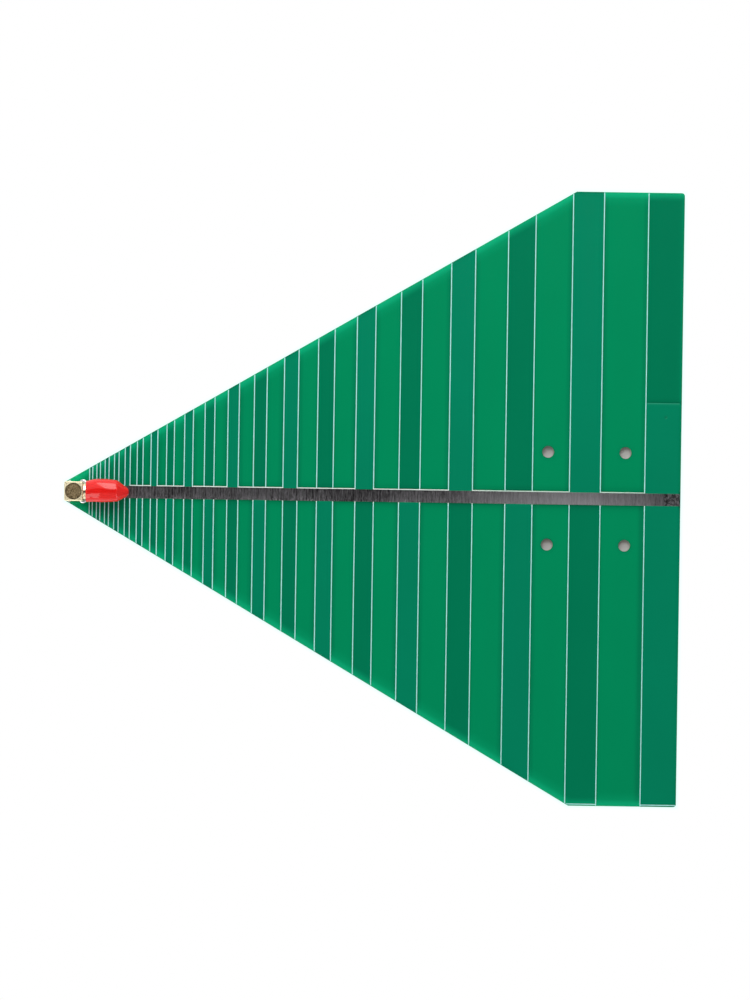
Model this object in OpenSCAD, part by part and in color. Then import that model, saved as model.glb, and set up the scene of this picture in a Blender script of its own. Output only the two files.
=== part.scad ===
// Log-periodic dipole antenna etched on a two-sided circuit board. A right-angle coaxial jack
// stands at the tip, with its threaded barrel along the boom under a push-on dust cap.
// X runs along the boom from the tip to the rear edge, Z points out of the component face.
// The origin is the middle of the four mounting holes, on the underside of the laminate.

/* [Board] */
// Width across the parallel sides
board_w = 200; // [170:0.5:230]
// Length from the cut-off tip to the rear edge
board_l = 200.5; // [190:0.5:240]
// Thickness of the laminate
board_t = 1.6; // [0.8:0.1:3.2]
// Width of the cut-off tip
tip_w = 6; // [5.6:0.1:9]
// Angle between a sloping edge and the boom
flank_angle = 30.4; // [28:0.1:35]
// Radius of the two rear corners
corner_r = 1; // [0.8:0.1:4]
// Least radius of a layer's rear corners, where it stands back from the edge
layer_corner_r = 0.05; // [0.02:0.01:0.2]

/* [Mounting holes] */
// Diameter of a mounting hole
hole_d = 3.8; // [2.2:0.1:5]
// Hole spacing along the boom
hole_pitch_x = 25.2; // [15:0.1:30]
// Hole spacing across the boom
hole_pitch_y = 30.2; // [16:0.1:60]
// Distance from the rear pair of holes to the rear edge
hole_to_rear = 18.1; // [15:0.1:24]

/* [Etched pattern] */
// Number of dipole elements
element_count = 20; // [16:1:22]
// Each element stands this many times further from the apex than the one before
growth = 1.1375; // [1.12:0.0005:1.16]
// Width of an element as a share of its distance from the apex
element_fill = 0.0582; // [0.045:0.0002:0.07]
// Distance from the pattern's apex to the tip of the board
apex_lead = 9.05; // [6:0.05:14]
// Distance from the last step of the pattern to the rear edge
array_setback = 12.4; // [11.9:0.05:16]
// Width of the last element, measured from the rear edge
rear_element_w = 11.7; // [9:0.1:12]
// Length of the short stub that balances the last element, from the boom
stub_l = 29.5; // [10:0.5:60]
// Width of the boom
boom_w = 4; // [3.6:0.1:6]
// Thickness of the copper foil with its film of solder mask
foil_t = 0.05; // [0.035:0.005:0.1]
// Thickness of the tin on the bare copper
tin_t = 0.03; // [0.02:0.005:0.06]
// Distance the copper keeps from the edges of the board
edge_margin = 0.7; // [0.5:0.05:2]

/* [Printed lines] */
// Width of a printed line
line_w = 0.28; // [0.2:0.02:0.6]
// Thickness of the ink
ink_t = 0.06; // [0.02:0.005:0.07]
// Gap between the ink and the copper beside it
print_gap = 0.02; // [0.01:0.005:0.05]
// Distance the lines keep from the edges of the board
print_margin = 0.15; // [0.05:0.05:0.4]

/* [Jack] */
// Distance from the tip to the middle of the jack's block
jack_set = 3.4; // [3.3:0.05:4.2]
// Length of the block along the boom
block_l = 6; // [5.6:0.1:7]
// Width of the block across the boom
block_w = 6.3; // [6:0.1:7.5]
// Radius of the block's upright edges
block_edge_r = 0.3; // [0.1:0.05:0.6]
// Height of the barrel's axis above the block's foot
axis_h = 5; // [4.6:0.1:6]
// Spacing of the four ground posts
post_pitch = 5.08; // [4.8:0.02:5.2]
// Diameter of a ground post
post_d = 0.9; // [0.7:0.05:1]
// Length of the posts below the laminate
tail_l = 1.3; // [1.1:0.1:2.5]
// Diameter of the upright chamber
chamber_d = 4.5; // [4.3:0.1:4.8]
// Diameter of the round lid in the top of the block
lid_d = 5.4; // [5:0.1:5.5]
// Thickness of the lid
lid_t = 0.8; // [0.5:0.1:1.2]
// Depth of the lid's face below the top of the block
lid_recess = 0.1; // [0.05:0.05:0.3]
// Height of the roof between the bore and the lid
roof_t = 0.25; // [0.15:0.05:0.6]

/* [Barrel] */
// Outside diameter of the thread
thread_d = 6.25; // [6:0.05:6.6]
// Chamfer at both ends of the thread
thread_chamfer = 0.35; // [0.1:0.05:0.5]
// Length of the barrel in front of the block
barrel_l = 9.5; // [8:0.1:12]
// Diameter of the neck behind the thread
neck_d = 5.2; // [4.9:0.05:5.5]
// Length of the neck
neck_l = 1.5; // [1:0.1:2.5]
// Diameter of the bore that holds the insulator
bore_d = 4.1; // [3.9:0.05:4.2]
// Diameter of the open mouth of the socket
socket_d = 4.6; // [4.4:0.05:4.8]
// Depth of the open mouth of the socket
socket_depth = 1.9; // [1:0.1:2.5]

/* [Contacts] */
// Diameter of the centre contact
contact_d = 1.27; // [1.1:0.01:1.5]
// Diameter of the hole in the contact's mouth
contact_bore_d = 0.95; // [0.8:0.01:1]
// Depth of the hole in the contact's mouth
contact_bore_l = 2.6; // [1.5:0.1:4]
// Width of the slots that make the contact's mouth springy
contact_slot_w = 0.18; // [0.1:0.02:0.3]
// Diameter of the contact's rear spigot
spigot_d = 0.5; // [0.4:0.05:0.6]
// Diameter of the upright centre pin
pin_d = 1; // [0.8:0.05:1.2]
// Gap on the radius between pieces pressed together
fit_gap = 0.02; // [0.01:0.005:0.04]

/* [Pads and solder] */
// Diameter of a ground pad
pad_d = 2.7; // [2:0.1:2.8]
// Distance the pads keep from the edges of the board
pad_margin = 0.2; // [0.1:0.05:0.4]
// Clearance round the pads and the centre pin
pad_gap = 0.4; // [0.2:0.05:0.6]
// Gap on the radius between a post or the pin and its hole
lead_gap = 0.15; // [0.05:0.05:0.25]
// Width of the narrow track between the ground pads
track_w = 1.6; // [1.2:0.1:1.8]
// Width of the solder round a post or the pin at its foot
solder_skirt = 0.42; // [0.3:0.02:0.45]
// Width of the solder at its top
solder_lip = 0.06; // [0.04:0.02:0.2]
// Height of a solder joint
solder_h = 0.95; // [0.5:0.05:1]

/* [Dust cap] */
// Length of the cap
cap_l = 13.9; // [13:0.1:18]
// Gap between the cap's mouth and the block
cap_gap = 0.9; // [0.4:0.1:1.4]
// Gap on the radius between the cap and the thread
cap_clearance = 0.08; // [0.04:0.01:0.1]
// Wall at the mouth
lip_wall = 0.2; // [0.15:0.01:0.6]
// Wall at the thickest place
belly_wall = 0.58; // [0.4:0.01:1]
// Distance from the mouth to the thickest place
belly_x = 4.8; // [4:0.1:9]
// Distance from the shoulder of the nose to the end of the cap
nose_l = 3.7; // [3:0.1:5]
// Wall at the shoulder, outside the line of the bore
shoulder_wall = 0.2; // [0.05:0.05:0.5]
// Radius of the rounded nose
nose_r = 1.8; // [1.2:0.1:2.4]
// Thickness of the nose at its end
nose_wall = 1.2; // [0.6:0.1:2]
// Distance from the end of the barrel to the end of the cap's bore
cap_end_gap = 0.4; // [0.2:0.1:1]

/* [Hidden] */
$fn = 64;

laminate_green = [0.03, 0.52, 0.33];
copper_green = [0.09, 0.48, 0.36];
tin_grey = [0.42, 0.41, 0.42];
ink_white = [0.95, 0.96, 0.94];
plated_gold = [0.93, 0.82, 0.55];
lid_brown = [0.42, 0.37, 0.24];
insulator_white = [0.94, 0.94, 0.92];
solder_silver = [0.78, 0.79, 0.8];
cap_red = [0.87, 0.1, 0.1];

// Cutters reach this far past the faces that they cut
overcut = 1;
// Straight steps along the cap's side and round its nose
side_steps = 16;
nose_steps = 10;

rear_x = hole_pitch_x / 2 + hole_to_rear;
tip_x = rear_x - board_l;
apex_x = tip_x - apex_lead;
last_reach = rear_x - array_setback - apex_x;
line_start = boom_w / 2 + print_gap;
// Where the copper's sloping edge turns into its straight one
flank_rise = board_w / 2 - tip_w / 2 - edge_margin + edge_margin / cos(flank_angle);
shoulder_line_x = tip_x + flank_rise / tan(flank_angle);

foil_top = board_t + foil_t;
seat_z = foil_top + tin_t;
jack_x = tip_x + jack_set;
block_face_x = jack_x + block_l / 2;
block_h = axis_h + bore_d / 2 + roof_t + lid_t + lid_recess;
axis_z = seat_z + axis_h;
barrel_end_x = block_face_x + barrel_l;
socket_floor_x = barrel_end_x - socket_depth;
post_hole_d = post_d + 2 * lead_gap;
pin_hole_d = pin_d + 2 * lead_gap;
boom_start_x = jack_x + (post_pitch + pad_d) / 2 + pad_gap;

cap_bore_r = thread_d / 2 + cap_clearance;
cap_bore_l = barrel_l - cap_gap + cap_end_gap;
mouth_r = cap_bore_r + lip_wall;
belly_r = cap_bore_r + belly_wall;
shoulder_r = cap_bore_r + shoulder_wall;
shoulder_x = cap_l - nose_l;
nose_x = cap_l - nose_r;
// Angle on the nose's sphere at which the cone from the shoulder meets it
shoulder_reach = norm([shoulder_r, shoulder_x - nose_x]);
nose_angle = atan2(shoulder_r, shoulder_x - nose_x) - acos(nose_r / shoulder_reach);

// Distance of element n from the apex, in a geometric row that ends at the last step
function reach(n) = last_reach / pow(growth, element_count - n);

// Front and rear outlines of element n, as the printed lines draw them
function front_x(n) = n < element_count ? apex_x + reach(n) : rear_x - rear_element_w;
function back_x(n) = n < element_count ? apex_x + reach(n) * (1 + element_fill) : rear_x;

// Edges of the copper of element n, inside its printed lines
function copper_x0(n) = front_x(n) + line_w / 2 + print_gap;
function copper_x1(n) = n < element_count ? back_x(n) - line_w / 2 - print_gap : rear_x - edge_margin;

// On the front face odd elements point to +Y and even ones to -Y
function side(n) = n % 2 == 1 ? 1 : -1;

// The next element after n that leaves the front boom on its +Y side, or the last one
function next_upper(n) = min(n + 2, element_count);

// Height of the copper's edge above the boom's axis at x, under the sloping or the straight edge
function copper_edge_y(x) = min(
    board_w / 2 - edge_margin,
    tip_w / 2 + (x - tip_x) * tan(flank_angle) - edge_margin / cos(flank_angle)
);

// One tooth of the comb from x0 to x1, cut along the edge of the board
function tooth(x0, x1) = concat(
    [[x0, boom_w / 2], [x0, copper_edge_y(x0)]],
    x0 < shoulder_line_x && shoulder_line_x < x1 ? [[shoulder_line_x, copper_edge_y(shoulder_line_x)]] : [],
    [[x1, copper_edge_y(x1)], [x1, boom_w / 2]]
);

// Teeth along one side of the boom: every second element, or the last element's short stub
function comb_side(parity) = [
    for (n = [1 : element_count], p = side(n) == parity ? tooth(copper_x0(n), copper_x1(n))
        : n == element_count ? stub() : []) p
];
function stub() = [
    [copper_x0(element_count), boom_w / 2],
    [copper_x0(element_count), boom_w / 2 + stub_l],
    [copper_x1(element_count), boom_w / 2 + stub_l],
    [copper_x1(element_count), boom_w / 2]
];

// Outline of the cap: two parabolas that meet at the belly
function cap_r(x) = x < belly_x
    ? belly_r - (belly_r - mouth_r) * pow(1 - x / belly_x, 2)
    : belly_r - (belly_r - shoulder_r) * pow((x - belly_x) / (shoulder_x - belly_x), 2);

// Shapes shared by several pieces

module outline_2d(inset = 0) {
    tip_y = tip_w / 2 + inset * tan(flank_angle) - inset / cos(flank_angle);
    side_y = board_w / 2 - inset;
    side_x = tip_x + (side_y - tip_w / 2 + inset / cos(flank_angle)) / tan(flank_angle);
    r = max(corner_r - inset, layer_corner_r);
    corner = [for (a = [90 : -15 : 0]) [rear_x - inset - r + r * cos(a), side_y - r + r * sin(a)]];
    upper = concat([[tip_x + inset, tip_y], [side_x, side_y]], corner);
    lower = [for (i = [len(upper) - 1 : -1 : 0]) [upper[i][0], -upper[i][1]]];
    polygon(concat(upper, lower));
}

module at_mounting_holes() {
    for (x = [-1, 1], y = [-1, 1]) {
        translate([x * hole_pitch_x / 2, y * hole_pitch_y / 2]) children();
    }
}

module at_posts() {
    for (x = [-1, 1], y = [-1, 1]) {
        translate([jack_x + x * post_pitch / 2, y * post_pitch / 2]) children();
    }
}

module lead_holes_2d() {
    at_posts() circle(d = post_hole_d);
    translate([jack_x, 0]) circle(d = pin_hole_d);
}

module ground_pads_2d() {
    intersection() {
        at_posts() circle(d = pad_d);
        outline_2d(pad_margin);
    }
}

module boom_2d(start_x) {
    translate([start_x, -boom_w / 2]) square([rear_x - pad_margin - start_x, boom_w]);
}

// Outline of one face's copper as a single comb: the teeth of the +Y side from the tip to the
// rear, then those of the -Y side back again. The face is 1 on the front and -1 on the rear.
module comb_2d(face, start_x) {
    end_x = rear_x - pad_margin;
    upper = comb_side(face);
    lower = comb_side(-face);
    polygon(concat(
        [[start_x, boom_w / 2]],
        upper,
        [[end_x, boom_w / 2], [end_x, -boom_w / 2]],
        [for (i = [len(lower) - 1 : -1 : 0]) [lower[i][0], -lower[i][1]]],
        [[start_x, -boom_w / 2]]
    ));
}

// A layer of thickness t on z = 0: the outlines given as children, grown together and drilled
module layer(t) {
    difference() {
        union() {
            for (i = [0 : $children - 1]) {
                linear_extrude(t) children(i);
            }
        }
        translate([0, 0, -overcut]) linear_extrude(t + 2 * overcut) {
            lead_holes_2d();
            at_mounting_holes() circle(d = hole_d);
        }
    }
}

// The front copper and tin stay clear of the centre pin
module clear_of_pin(t) {
    difference() {
        children();
        translate([jack_x, 0, -overcut]) cylinder(d = pin_hole_d + 2 * pad_gap, h = t + 2 * overcut);
    }
}

// A revolved solder joint with a hollow flank, standing on z = 0 round a lead of diameter d
module solder_joint(d) {
    inner_r = d / 2 + fit_gap;
    lip_r = inner_r + solder_lip;
    foot_r = inner_r + solder_skirt;
    flank = [for (a = [0 : 10 : 90]) [foot_r - (foot_r - lip_r) * sin(a), solder_h * (1 - cos(a))]];
    rotate_extrude() polygon(concat([[inner_r, 0]], flank, [[inner_r, solder_h]]));
}

// Points a revolved shape along the barrel, from the block's front face
module along_barrel(x) {
    translate([x, 0, axis_z]) rotate([0, 90, 0]) children();
}

// Pieces of the board

module board() {
    color(laminate_green) layer(board_t) outline_2d();
}

module front_foil() {
    color(copper_green) translate([0, 0, board_t]) clear_of_pin(foil_t) layer(foil_t) {
        comb_2d(1, tip_x + edge_margin);
        ground_pads_2d();
    }
}

module rear_foil() {
    color(copper_green) translate([0, 0, -foil_t]) layer(foil_t) {
        comb_2d(-1, boom_start_x);
        translate([jack_x, -track_w / 2]) square([boom_start_x - jack_x + overcut, track_w]);
        translate([jack_x, 0]) circle(d = pad_d);
    }
}

module rear_ground_pads() {
    color(solder_silver) translate([0, 0, -foil_t]) layer(foil_t) ground_pads_2d();
}

module front_tin() {
    color(tin_grey) translate([0, 0, foil_top]) clear_of_pin(tin_t) layer(tin_t) {
        boom_2d(tip_x + edge_margin);
        ground_pads_2d();
    }
}

module rear_tin() {
    color(tin_grey) translate([0, 0, -foil_t - tin_t]) linear_extrude(tin_t) boom_2d(boom_start_x);
}

// White lines along both edges of every element, along the +Y edge of the boom between the
// elements that leave it there, and across the -Y ends of the last two elements
module printed_lines() {
    fronts = [for (n = [1 : element_count]) front_x(n)];
    backs = [for (n = [1 : element_count - 1]) back_x(n)];
    color(ink_white) translate([0, 0, board_t]) linear_extrude(ink_t) difference() {
        intersection() {
            outline_2d(print_margin);
            union() {
                for (x = concat(fronts, backs), y = [line_start, -board_w]) {
                    translate([x - line_w / 2, y]) square([line_w, board_w - line_start]);
                }
                for (n = [1 : 2 : element_count - 1]) {
                    line_along(back_x(n), front_x(next_upper(n)), line_start);
                }
                for (n = [element_count - 1, element_count]) {
                    line_along(front_x(n), back_x(n), edge_margin - board_w / 2 - print_gap - line_w);
                }
            }
        }
        comb_2d(1, tip_x + edge_margin);
        ground_pads_2d();
        at_mounting_holes() circle(d = hole_d);
    }
}

// A printed line along X that closes the corners with the lines across it
module line_along(x0, x1, y) {
    translate([x0 - line_w / 2, y]) square([x1 - x0 + line_w, line_w]);
}

// Pieces of the jack

module jack_body() {
    thread_r = thread_d / 2;
    neck_r = neck_d / 2;
    color(plated_gold) difference() {
        union() {
            translate([jack_x, 0, seat_z]) linear_extrude(block_h) block_2d();
            along_barrel(jack_x) rotate_extrude() polygon([
                [0, 0],
                [neck_r, 0],
                [neck_r, block_l / 2 + neck_l],
                [thread_r - thread_chamfer, block_l / 2 + neck_l],
                [thread_r, block_l / 2 + neck_l + thread_chamfer],
                [thread_r, block_l / 2 + barrel_l - thread_chamfer],
                [thread_r - thread_chamfer, block_l / 2 + barrel_l],
                [0, block_l / 2 + barrel_l]
            ]);
            translate([0, 0, -tail_l])
                linear_extrude(seat_z + tail_l + overcut) at_posts() circle(d = post_d);
        }
        translate([jack_x, 0, seat_z - overcut]) cylinder(d = chamber_d, h = block_h);
        translate([jack_x, 0, seat_z + block_h - lid_t - lid_recess])
            cylinder(d = lid_d + 2 * fit_gap, h = lid_t + lid_recess + overcut);
        along_barrel(jack_x) cylinder(d = bore_d, h = block_l / 2 + barrel_l + overcut);
        along_barrel(socket_floor_x) cylinder(d = socket_d, h = socket_depth + overcut);
    }
}

// Block outline with rounded upright edges
module block_2d() {
    for (x = [-1, 1], y = [-1, 1]) {
        translate([x * (block_l / 2 - block_edge_r), y * (block_w / 2 - block_edge_r)])
            circle(r = block_edge_r);
    }
    square([block_l, block_w - 2 * block_edge_r], center = true);
    square([block_l - 2 * block_edge_r, block_w], center = true);
}

module jack_lid() {
    color(lid_brown) translate([jack_x, 0, seat_z + block_h - lid_t - lid_recess])
        cylinder(d = lid_d, h = lid_t);
}

module barrel_insulator() {
    start_x = jack_x + pin_d;
    color(insulator_white) along_barrel(start_x) difference() {
        cylinder(d = bore_d - 2 * fit_gap, h = socket_floor_x - start_x);
        translate([0, 0, -overcut])
            cylinder(d = contact_d + 2 * fit_gap, h = socket_floor_x - start_x + 2 * overcut);
    }
}

module pin_insulator() {
    color(insulator_white) translate([jack_x, 0, seat_z])
        linear_extrude(axis_h - bore_d / 2 - fit_gap) difference() {
            circle(d = chamber_d - 2 * fit_gap);
            circle(d = pin_d + 2 * fit_gap);
        }
}

// Slotted socket contact with a spigot that passes through the centre pin
module centre_contact() {
    start_x = jack_x + pin_d / 2 + fit_gap;
    color(plated_gold) difference() {
        union() {
            along_barrel(start_x) cylinder(d = contact_d, h = socket_floor_x - start_x);
            along_barrel(jack_x - pin_d) cylinder(d = spigot_d, h = 2 * pin_d);
        }
        along_barrel(socket_floor_x - contact_bore_l)
            cylinder(d = contact_bore_d, h = contact_bore_l + overcut);
        for (turn = [0, 90]) {
            along_barrel(socket_floor_x) rotate([0, 0, turn])
                cube([contact_slot_w, 2 * contact_d, 2 * contact_bore_l - contact_d], center = true);
        }
    }
}

module centre_pin() {
    color(plated_gold) difference() {
        translate([jack_x, 0, -tail_l]) cylinder(d = pin_d, h = axis_z + pin_d + tail_l);
        along_barrel(jack_x - pin_d) cylinder(d = spigot_d + 2 * fit_gap, h = 2 * pin_d);
    }
}

module ground_solder() {
    color(solder_silver) translate([0, 0, -foil_t]) mirror([0, 0, 1]) at_posts() solder_joint(post_d);
}

module feed_solder() {
    color(solder_silver) translate([jack_x, 0, -foil_t]) mirror([0, 0, 1]) solder_joint(pin_d);
}

// Thin-walled push-on cap with a swelling side and a rounded conical nose
module dust_cap() {
    side_points = [for (i = [0 : side_steps]) let (x = shoulder_x * i / side_steps) [cap_r(x), x]];
    nose_points = [
        for (i = [0 : nose_steps])
            let (a = nose_angle * (1 - i / nose_steps)) [nose_r * sin(a), nose_x + nose_r * cos(a)]
    ];
    cavity = [
        [0, -overcut],
        [cap_bore_r, -overcut],
        [cap_bore_r, cap_bore_l],
        [max(nose_r - nose_wall, 0), cap_l - nose_wall],
        [0, cap_l - nose_wall]
    ];
    color(cap_red) along_barrel(block_face_x + cap_gap) rotate_extrude() difference() {
        polygon(concat([[0, 0]], side_points, nose_points));
        polygon(cavity);
    }
}

board();
front_foil();
rear_foil();
rear_ground_pads();
front_tin();
rear_tin();
printed_lines();
jack_body();
jack_lid();
barrel_insulator();
pin_insulator();
centre_contact();
centre_pin();
ground_solder();
feed_solder();
dust_cap();
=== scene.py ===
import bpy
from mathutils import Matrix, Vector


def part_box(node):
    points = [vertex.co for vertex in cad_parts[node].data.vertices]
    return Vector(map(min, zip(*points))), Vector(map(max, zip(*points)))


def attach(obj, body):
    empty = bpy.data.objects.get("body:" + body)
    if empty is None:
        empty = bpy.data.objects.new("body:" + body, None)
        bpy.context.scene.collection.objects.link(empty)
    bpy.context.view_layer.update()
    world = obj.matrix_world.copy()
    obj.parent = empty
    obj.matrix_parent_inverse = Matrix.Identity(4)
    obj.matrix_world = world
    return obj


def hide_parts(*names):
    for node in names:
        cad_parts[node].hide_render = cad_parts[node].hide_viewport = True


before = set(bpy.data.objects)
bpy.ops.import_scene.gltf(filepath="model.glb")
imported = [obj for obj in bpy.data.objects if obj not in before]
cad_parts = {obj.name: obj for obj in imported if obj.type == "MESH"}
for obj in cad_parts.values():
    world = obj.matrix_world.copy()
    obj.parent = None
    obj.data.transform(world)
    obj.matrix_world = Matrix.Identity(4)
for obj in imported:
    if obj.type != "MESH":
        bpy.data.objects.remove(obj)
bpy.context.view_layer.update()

import math

import bmesh
import bpy
import numpy as np

bl_info = {
    "name": "Log-periodic board antenna",
    "version": (1, 0, 0),
    "blender": (4, 5, 0),
    "location": "View3D > Sidebar > Antenna",
    "description": "Dresses the solids of an etched board antenna with its jack and dust cap",
    "category": "Object",
}

# Places of the solids, in metres
MM = 0.001
BOARD_LO, BOARD_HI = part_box("board")
SHELL_LO, SHELL_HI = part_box("jack_body")
CAP_LO, CAP_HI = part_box("dust_cap")
LID_LO, LID_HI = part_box("jack_lid")
REAR_TIN_LO, REAR_TIN_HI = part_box("rear_tin")
FRONT_TIN_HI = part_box("front_tin")[1]
FOIL_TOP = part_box("front_foil")[1][2]
REAR_FOIL_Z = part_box("rear_foil")[0][2]
SOCKET_FLOOR_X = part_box("barrel_insulator")[1][0]
SEAT_Z = FRONT_TIN_HI[2]
JACK_X = (LID_LO[0] + LID_HI[0]) / 2
BLOCK_HALF = JACK_X - SHELL_LO[0]
BLOCK_FACE_X = JACK_X + BLOCK_HALF
LID_RADIUS = (LID_HI[0] - LID_LO[0]) / 2
AXIS_Z = (CAP_LO[2] + CAP_HI[2]) / 2
CORNERS = ((-1, -1), (-1, 1), (1, -1), (1, 1))


# Properties


def length(label, text, default):
    """A length in metres for a property group."""
    return bpy.props.FloatProperty(
        name=label, description=text, default=default, min=0.0, precision=5,
        unit="LENGTH", subtype="DISTANCE")


def colour(label, text, default):
    """A linear colour for a property group."""
    return bpy.props.FloatVectorProperty(
        name=label, description=text, default=default, size=3, min=0.0, max=1.0, subtype="COLOR")


def power(label, text, default):
    """The power of a lamp in watts for a property group."""
    return bpy.props.FloatProperty(
        name=label, description=text, default=default, min=0.0, subtype="POWER")


class BoardLook(bpy.types.PropertyGroup):
    """Colours of the laminate, the copper under its mask and the ink."""

    bare_green: colour("Bare laminate", "Mask over laminate with no copper", (0.0003, 0.268, 0.106))
    # Painted glow: laminate drawn paler near a cut edge, as light let through the edge makes it.
    # The cut edge and the ink's tint use this green too.
    glow_green: colour("Edge glow", "Laminate close to a cut edge", (0.004, 0.425, 0.19))
    # Painted shade: the laminate is drawn darker close to copper and round the holes.
    shade_green: colour("Shade", "Laminate close to copper", (0.002, 0.14, 0.07))
    seen_green: colour("Copper seen through", "Copper of the other face", (0.0003, 0.197, 0.09))
    mask_green: colour("Copper under mask", "Copper of the same face", (0.0005, 0.226, 0.112))
    # Painted highlight: the mask's edge over the stub's end catching light.
    rim_green: colour("Stub rim", "Thin mask over the end of the stub", (0.055, 0.46, 0.29))
    core_tan: colour("Cut edge", "Glass and resin at a cut edge", (0.36, 0.42, 0.24))
    drilled_tan: colour("Drilled wall", "Glass and resin in a mounting hole", (0.46, 0.43, 0.32))
    ink_white: colour("Ink", "Printed lines", (0.5, 0.96, 0.95))
    glow_reach: length("Glow reach", "Width of the edge glow", 0.0024)
    shade_reach: length("Shade reach", "Width of the shade beside copper", 0.0022)
    boom_shade: length("Boom shade", "Width of the shade beside the boom", 0.0008)


class TinLook(bpy.types.PropertyGroup):
    """Tin on the two booms and on the pads."""

    grey: colour("Tin", "Body colour of the tin", (0.6, 0.58, 0.61))
    edge_wave: length("Edge wave", "Waviness of the strip's long edges", 0.00004)
    crown: length("Crown", "Height of the strip's middle above its edges", 0.00001)
    pad_radius: length("Pad radius", "Radius of the tinned pad round a post", 0.00135)
    pad_climb: length("Pad climb", "Height of the solder set round a front post", 0.0003)


class JackShape(bpy.types.PropertyGroup):
    """Shell of the jack and its lid."""

    edge_round: length("Edge round", "Radius of the block's upright edges", 0.0005)
    rim_round: length("Rim round", "Radius of the block's top and bottom edges", 0.00028)
    thread_radius: length("Thread radius", "Outside radius of the thread", 0.003125)
    thread_pitch: length("Thread pitch", "Advance of the thread in one turn", 0.0007056)
    thread_depth: length("Thread depth", "Crest to root of the thread", 0.00042)
    neck_radius: length("Neck radius", "Radius of the neck behind the thread", 0.0026)
    neck_length: length("Neck length", "Length of the neck", 0.0015)
    end_chamfer: length("End chamfer", "Chamfer at both ends of the thread", 0.00035)
    bore_radius: length("Bore radius", "Radius of the bore that holds the insulator", 0.00205)
    socket_radius: length("Socket radius", "Radius of the open mouth", 0.0023)
    chamber_radius: length("Chamber radius", "Radius of the upright chamber", 0.00225)
    post_radius: length("Post radius", "Radius of a ground post", 0.00045)
    post_pitch: length("Post pitch", "Spacing of the ground posts", 0.00508)
    lid_dish: length("Lid dish", "Depth of the shallow dish in the lid", 0.00005)
    gold: colour("Gold", "Plating of the shell", (0.96, 0.85, 0.58))
    # Partly tarnish, partly a painted reflection of the dark room overhead.
    lid_brown: colour("Lid", "Tarnished lid", (0.146, 0.1, 0.042))


class SolderShape(bpy.types.PropertyGroup):
    """Solder joints on the underside."""

    skirt: length("Skirt", "Width of a joint at its foot", 0.00042)
    lip: length("Lip", "Width of a joint at its top", 0.00006)
    height: length("Height", "Height of a joint", 0.00095)
    pin_radius: length("Pin radius", "Radius of the centre pin", 0.0005)
    film: length("Film", "Film of solder along a lead", 0.00002)
    silver: colour("Solder", "Body colour of the solder", (0.72, 0.73, 0.74))


class CapShape(bpy.types.PropertyGroup):
    """Push-on dust cap."""

    bore_radius: length("Bore radius", "Radius of the bore", 0.003205)
    bore_depth: length("Bore depth", "Depth of the straight bore", 0.009)
    mouth_radius: length("Mouth radius", "Outside radius at the mouth", 0.003405)
    belly_radius: length("Belly radius", "Outside radius at the thickest place", 0.003785)
    belly_place: length("Belly place", "From the mouth to the thickest place", 0.0048)
    shoulder_radius: length("Shoulder radius", "Outside radius where the nose starts", 0.003405)
    shoulder_place: length("Shoulder place", "From the mouth to the nose", 0.0102)
    nose_radius: length("Nose radius", "Radius of the rounded end", 0.0018)
    nose_wall: length("Nose wall", "Thickness of the nose at its end", 0.0012)
    lean: length("Lean", "Sideways lean of the soft body towards +Y", 0.00034)
    red: colour("Vinyl", "Soft red vinyl", (0.89, 0.0165, 0.013))


class StageSetup(bpy.types.PropertyGroup):
    """Camera, floor and lamps."""

    aim: bpy.props.FloatVectorProperty(
        name="Aim", description="Point of the board in the middle of the picture",
        default=(-0.06876, -0.00142), size=2, unit="LENGTH", subtype="XYZ")
    height: length("Camera height", "Camera above the component face", 1.3)
    lens: bpy.props.FloatProperty(
        name="Lens", description="Focal length for the picture's long side", default=143.7,
        min=1.0, subtype="DISTANCE_CAMERA")
    turn: bpy.props.FloatProperty(
        name="Turn", description="Turn of the camera about its view",
        default=math.radians(0.86), subtype="ANGLE")
    floor_white: colour("Floor", "Plain pale floor", (0.62, 0.62, 0.62))
    key_power: power("Key power", "Softbox at the far side", 2.5)
    low_power: power("Low power", "Low fill at the near side", 3.2)
    tip_power: power("Tip power", "Softbox beyond the tip", 0.6)
    far_gleam: power("Far gleam", "Lamp for the gleam on the cap's far side", 0.156)
    near_gleam: power("Near gleam", "Lamp for the gleam on the cap's near side", 0.194)
    nose_gleam: power("Nose gleam", "Lamp for the gleam on the cap's nose", 0.144)


# Surfaces

# Points closer than this, in metres, become one
SAME_POINT = 1e-8


def arc(centre, radius, start, end, count):
    """Points of a circle's arc: centre plus radius times the cosine and sine of even angles."""
    a = np.radians(np.linspace(start, end, count))
    return np.stack([centre[0] + radius * np.cos(a), centre[1] + radius * np.sin(a)], axis=1)


def rounded_rectangle(half_x, half_y, radius, per_corner=7, per_side=9):
    """Closed outline of a rectangle: four quarter circles, joined by evenly spaced points."""
    a = np.radians(np.linspace(0, 90, per_corner)[None] + 90 * np.arange(4)[:, None])
    sx, sy = np.array([1, -1, -1, 1]), np.array([1, 1, -1, -1])
    x = (sx * (half_x - radius))[:, None] + radius * np.cos(a)
    y = (sy * (half_y - radius))[:, None] + radius * np.sin(a)
    corners = np.stack([x, y], axis=2)
    t = np.linspace(0, 1, per_side + 2)[1:-1][None, :, None]
    ends, starts = corners[:, -1:, :], np.roll(corners[:, :1, :], -1, axis=0)
    return np.concatenate([corners, ends + (starts - ends) * t], axis=1).reshape(-1, 2)


def turned_about_x(x, r, count):
    """A profile turned about the barrel's axis: (x, r sin a, height of the axis + r cos a).

    The radius is a column, or one number for each row and angle."""
    a = np.linspace(0, 2 * np.pi, count, endpoint=False)
    r = np.broadcast_to(r, (len(x), count))
    return np.stack([np.broadcast_to(x[:, None], r.shape),
                     r * np.sin(a), AXIS_Z + r * np.cos(a)], axis=2)


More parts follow.
